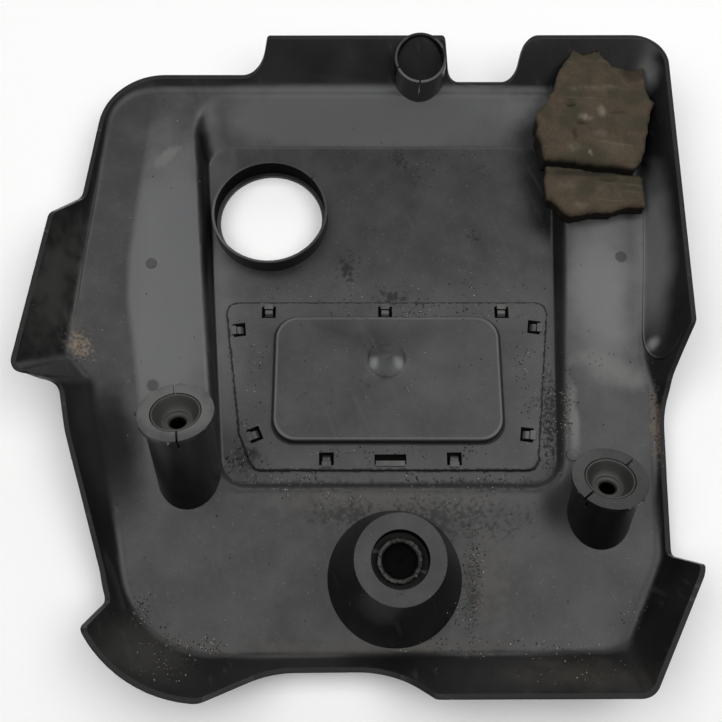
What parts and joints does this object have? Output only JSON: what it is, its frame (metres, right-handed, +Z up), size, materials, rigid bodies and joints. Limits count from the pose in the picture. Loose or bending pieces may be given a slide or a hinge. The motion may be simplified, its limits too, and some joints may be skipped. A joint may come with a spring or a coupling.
{
  "type": "engine cover",
  "caption": "Moulded engine bay cover with a flared skirt, ball socket towers, an oil filler opening, a trim plate and sound foam pads on its underside.",
  "frame": {"origin": "on the outer face of the plateau, just behind the trim plate, where the cover lies on the floor", "axes": "+Z up out of the open underside, +Y towards the back edge with the split tube, +X towards the foam pads"},
  "size_m": [0.4372, 0.4503, 0.0741],
  "materials": {
    "shell": "satin moulded, dusty",
    "trim": "satin moulded",
    "rubber": "matt, dusty",
    "foam": "open-cell foam, worn"
  },
  "bodies": {
    "root": {"cover_shell": "shell", "trim_plate": "trim", "left_grommet": "rubber", "right_grommet": "rubber", "boss_grommet": "rubber", "foam_pad_upper": "foam", "foam_pad_lower": "foam"}
  },
  "joints": []
}
